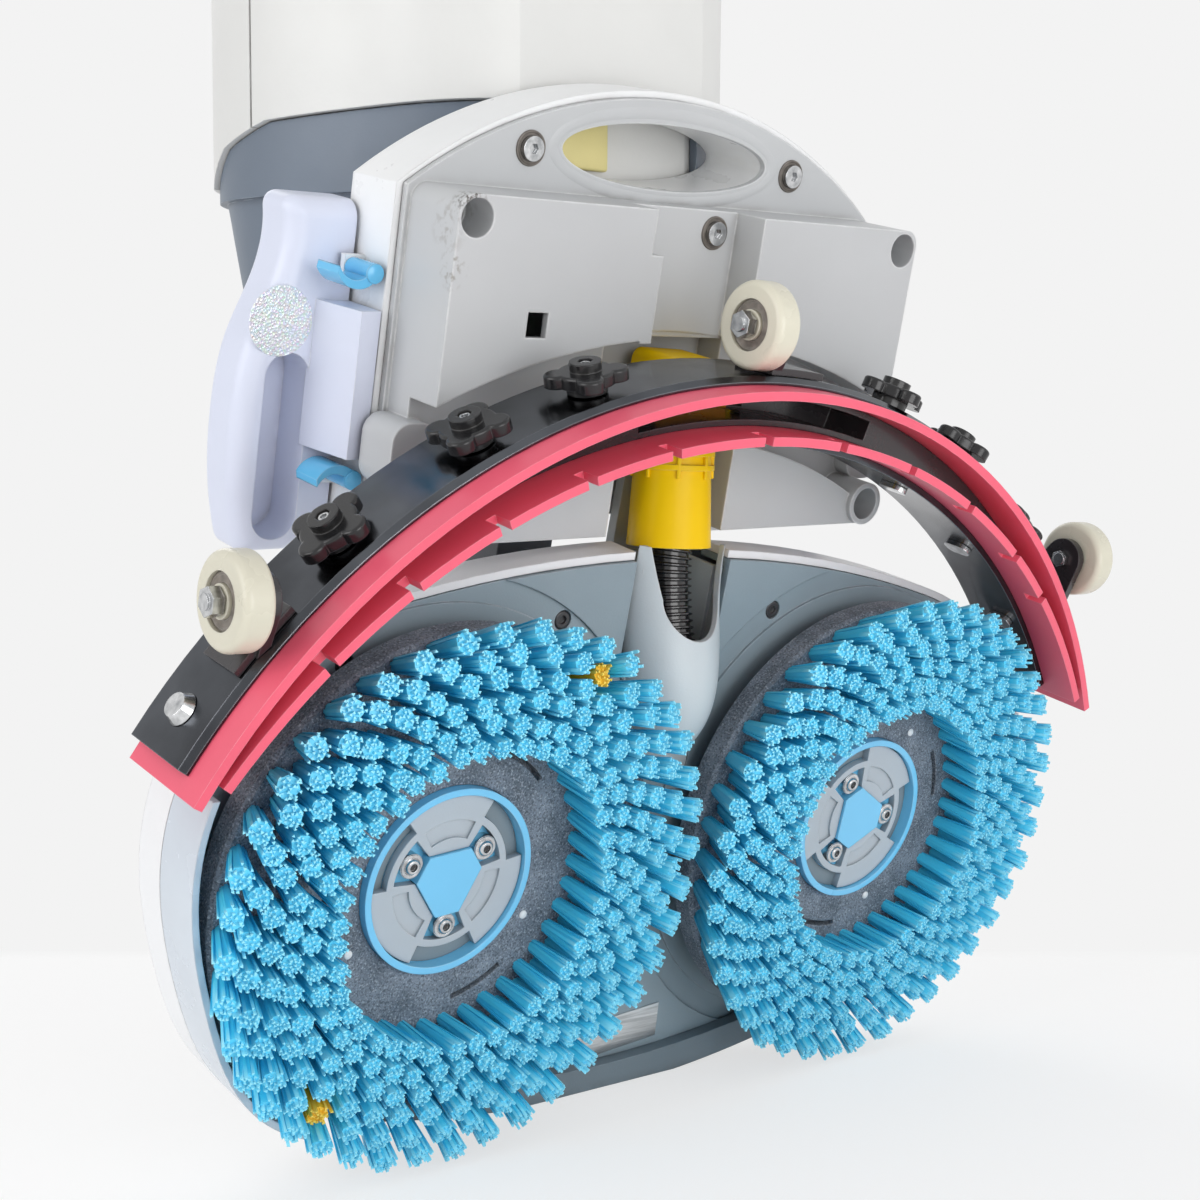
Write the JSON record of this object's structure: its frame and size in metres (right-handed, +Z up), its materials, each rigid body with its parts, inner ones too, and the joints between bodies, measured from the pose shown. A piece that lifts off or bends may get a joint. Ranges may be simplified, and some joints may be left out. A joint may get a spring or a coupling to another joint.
{
  "type": "floor scrubber dryer",
  "caption": "Compact floor scrubber dryer parked on its front edge: round blue brushes, curved squeegee on castors, side battery packs and a tank column with a looped handle.",
  "frame": {"origin": "middle of the parked machine's outline, on the floor", "axes": "+Z up, +X to the right seen from the brush side, -Y toward the side the brushes face"},
  "size_m": [0.4986, 0.3204, 1.2124],
  "materials": {
    "cover_white": "gloss moulding",
    "tank_white": "smooth blow moulding",
    "shell_grey": "fine matt moulding",
    "deck_grey": "fine matt moulding",
    "skirt_black": "matt moulding",
    "motor_metal": "satin paint",
    "frame_steel": "satin",
    "hose_black": "ribbed, semi-gloss",
    "brush_plate": "speckled matt moulding",
    "bristle_blue": "drawn filament",
    "hub_blue": "gloss moulding",
    "lock_grey": "matt moulding",
    "screw_steel": "machined",
    "squeegee_black": "smoky satin moulding",
    "blade_pink": "smooth translucent sheet",
    "cuff_yellow": "gloss moulding",
    "castor_cream": "turned",
    "knob_black": "matt moulding",
    "battery_white": "satin moulding",
    "latch_blue": "gloss moulding",
    "carrier_grey": "matt moulding",
    "console_grey": "matt moulding",
    "grip_rubber": "soft matt",
    "button_blue": "gloss moulding"
  },
  "bodies": {
    "deck": {"deck_shell": "deck_grey", "top_cover": "cover_white", "hose_channel": "shell_grey", "side_skirts": "deck_grey", "front_bumper": "deck_grey", "brush_motors": "motor_metal", "fold_yoke": "frame_steel", "wheel_fork": "frame_steel", "suction_hose": "hose_black"},
    "brush_left": {"brush_plate_left": "brush_plate", "bristles_left": "bristle_blue", "brush_coupling_left": "hub_blue", "hub_lock_left": "lock_grey", "hub_screws_left": "screw_steel"},
    "brush_right": {"brush_plate_right": "brush_plate", "bristles_right": "bristle_blue", "brush_coupling_right": "hub_blue", "hub_lock_right": "lock_grey", "hub_screws_right": "screw_steel"},
    "squeegee": {"squeegee_body": "squeegee_black", "rear_strap": "squeegee_black", "front_strap": "squeegee_black", "rear_blade": "blade_pink", "front_blade": "blade_pink", "suction_cuff": "cuff_yellow", "wheel_brackets": "squeegee_black", "squeegee_fasteners": "screw_steel", "swing_arm": "shell_grey"},
    "wheel_left": {"wheel_left": "castor_cream"},
    "wheel_middle": {"wheel_middle": "castor_cream"},
    "wheel_right": {"wheel_right": "castor_cream"},
    "knob_1": {"knob_1": "knob_black"},
    "knob_2": {"knob_2": "knob_black"},
    "knob_3": {"knob_3": "knob_black"},
    "knob_4": {"knob_4": "knob_black"},
    "knob_5": {"knob_5": "knob_black"},
    "knob_6": {"knob_6": "knob_black"},
    "transport_wheels": {"transport_wheels": "skirt_black"},
    "swivel": {"swivel_block": "frame_steel"},
    "chassis": {"rear_shell": "shell_grey", "front_shell": "cover_white", "chassis_screws": "screw_steel", "fold_neck": "frame_steel", "tank_carrier": "carrier_grey", "vacuum_motor": "motor_metal", "spine_tube": "frame_steel", "console": "console_grey", "handle_grip": "grip_rubber"},
    "battery_left": {"battery_left": "battery_white"},
    "battery_right": {"battery_right": "battery_white"},
    "latch_left_top": {"latch_left_top": "latch_blue"},
    "latch_left_bottom": {"latch_left_bottom": "latch_blue"},
    "latch_right_top": {"latch_right_top": "latch_blue"},
    "latch_right_bottom": {"latch_right_bottom": "latch_blue"},
    "recovery_tank": {"recovery_tank": "tank_white"},
    "recovery_lid": {"recovery_lid": "carrier_grey"},
    "solution_tank": {"solution_tank": "tank_white"},
    "filler_cap": {"filler_cap": "hub_blue"},
    "trigger": {"trigger": "console_grey"},
    "power_button": {"power_button": "button_blue"}
  },
  "joints": [
    {"name": "brush_left_spin", "type": "hinge", "parent": "deck", "child": "brush_left", "pos_m": [-0.119, -0.05332, 0.12576], "axis": [0, -0.9659, -0.2588], "continuous": true},
    {"name": "brush_right_spin", "type": "hinge", "parent": "deck", "child": "brush_right", "pos_m": [0.119, -0.05332, 0.12576], "axis": [0, -0.9659, -0.2588], "continuous": true},
    {"name": "transport_wheels_roll", "type": "hinge", "parent": "deck", "child": "transport_wheels", "pos_m": [0, 0.0677, 0.03], "axis": [1, 0, 0], "continuous": true},
    {"name": "squeegee_swing", "type": "hinge", "parent": "deck", "child": "squeegee", "pos_m": [0, -0.01758, 0.13534], "axis": [0, -0.9659, -0.2588], "range_deg": [-2.5, 2.5], "deforming": ["suction_hose"]},
    {"name": "wheel_left_roll", "type": "hinge", "parent": "squeegee", "child": "wheel_left", "pos_m": [-0.23165, -0.1158, 0.23336], "axis": [1, 0, 0], "continuous": true},
    {"name": "wheel_middle_roll", "type": "hinge", "parent": "squeegee", "child": "wheel_middle", "pos_m": [-0.00895, -0.14217, 0.33759], "axis": [1, 0, 0], "continuous": true},
    {"name": "wheel_right_roll", "type": "hinge", "parent": "squeegee", "child": "wheel_right", "pos_m": [0.23675, -0.11807, 0.2399], "axis": [1, 0, 0], "continuous": true},
    {"name": "knob_1_turn", "type": "hinge", "parent": "squeegee", "child": "knob_1", "pos_m": [-0.18942, -0.1118, 0.25515], "axis": [-0.66, -0.1944, 0.7257], "continuous": true},
    {"name": "knob_2_turn", "type": "hinge", "parent": "squeegee", "child": "knob_2", "pos_m": [-0.13695, -0.12128, 0.29051], "axis": [-0.4772, -0.2275, 0.8489], "continuous": true},
    {"name": "knob_3_turn", "type": "hinge", "parent": "squeegee", "child": "knob_3", "pos_m": [-0.0863, -0.12684, 0.31127], "axis": [-0.3007, -0.2468, 0.9212], "continuous": true},
    {"name": "knob_4_turn", "type": "hinge", "parent": "squeegee", "child": "knob_4", "pos_m": [0.0863, -0.12684, 0.31127], "axis": [0.3007, -0.2468, 0.9212], "continuous": true},
    {"name": "knob_5_turn", "type": "hinge", "parent": "squeegee", "child": "knob_5", "pos_m": [0.13695, -0.12128, 0.29051], "axis": [0.4772, -0.2275, 0.8489], "continuous": true},
    {"name": "knob_6_turn", "type": "hinge", "parent": "squeegee", "child": "knob_6", "pos_m": [0.18942, -0.1118, 0.25515], "axis": [0.66, -0.1944, 0.7257], "continuous": true},
    {"name": "body_fold", "type": "hinge", "parent": "deck", "child": "swivel", "pos_m": [0, 0.01549, 0.21667], "axis": [-1, 0, 0], "range_deg": [0, 70]},
    {"name": "body_steer", "type": "hinge", "parent": "swivel", "child": "chassis", "pos_m": [0, 0.04254, 0.22392], "axis": [0, -0.9659, -0.2588], "range_deg": [-6, 2]},
    {"name": "battery_left_slide", "type": "slide", "parent": "chassis", "child": "battery_left", "axis": [-0.9994, 0.009, -0.0337], "range_m": [0, 0.12]},
    {"name": "battery_right_slide", "type": "slide", "parent": "chassis", "child": "battery_right", "axis": [0.9994, -0.009, 0.0337], "range_m": [0, 0.12]},
    {"name": "latch_left_top_turn", "type": "hinge", "parent": "chassis", "child": "latch_left_top", "pos_m": [-0.14248, -0.0593, 0.35671], "axis": [0, 0.9659, 0.2588], "range_deg": [0, 25], "stiffness_Nm_per_rad": 0.1},
    {"name": "latch_left_bottom_turn", "type": "hinge", "parent": "chassis", "child": "latch_left_bottom", "pos_m": [-0.13963, -0.03814, 0.27774], "axis": [0, -0.9659, -0.2588], "range_deg": [0, 25], "stiffness_Nm_per_rad": 0.1},
    {"name": "latch_right_top_turn", "type": "hinge", "parent": "chassis", "child": "latch_right_top", "pos_m": [0.13135, -0.06177, 0.36595], "axis": [0, -0.9659, -0.2588], "range_deg": [0, 25], "stiffness_Nm_per_rad": 0.1},
    {"name": "latch_right_bottom_turn", "type": "hinge", "parent": "chassis", "child": "latch_right_bottom", "pos_m": [0.1342, -0.04062, 0.28698], "axis": [0, 0.9659, 0.2588], "range_deg": [0, 25], "stiffness_Nm_per_rad": 0.1},
    {"name": "recovery_tank_lift", "type": "slide", "parent": "chassis", "child": "recovery_tank", "axis": [-0.0341, -0.0522, 0.9981], "range_m": [0, 0.15]},
    {"name": "recovery_lid_lift", "type": "slide", "parent": "recovery_tank", "child": "recovery_lid", "axis": [-0.0341, -0.0522, 0.9981], "range_m": [0, 0.06]},
    {"name": "solution_tank_lift", "type": "slide", "parent": "chassis", "child": "solution_tank", "axis": [-0.0341, -0.0522, 0.9981], "range_m": [0, 0.15]},
    {"name": "filler_cap_turn", "type": "hinge", "parent": "solution_tank", "child": "filler_cap", "pos_m": [-0.01736, 0.10302, 0.75479], "axis": [-0.0341, -0.0522, 0.9981], "continuous": true},
    {"name": "trigger_pull", "type": "hinge", "parent": "chassis", "child": "trigger", "pos_m": [-0.03135, 0.00857, 1.14415], "axis": [-0.9994, 0.009, -0.0337], "range_deg": [0, 15], "stiffness_Nm_per_rad": 0.3},
    {"name": "power_button_press", "type": "slide", "parent": "chassis", "child": "power_button", "axis": [0.0073, 0.9986, 0.0525], "range_m": [0, 0.003], "stiffness_N_per_m": 400}
  ]
}
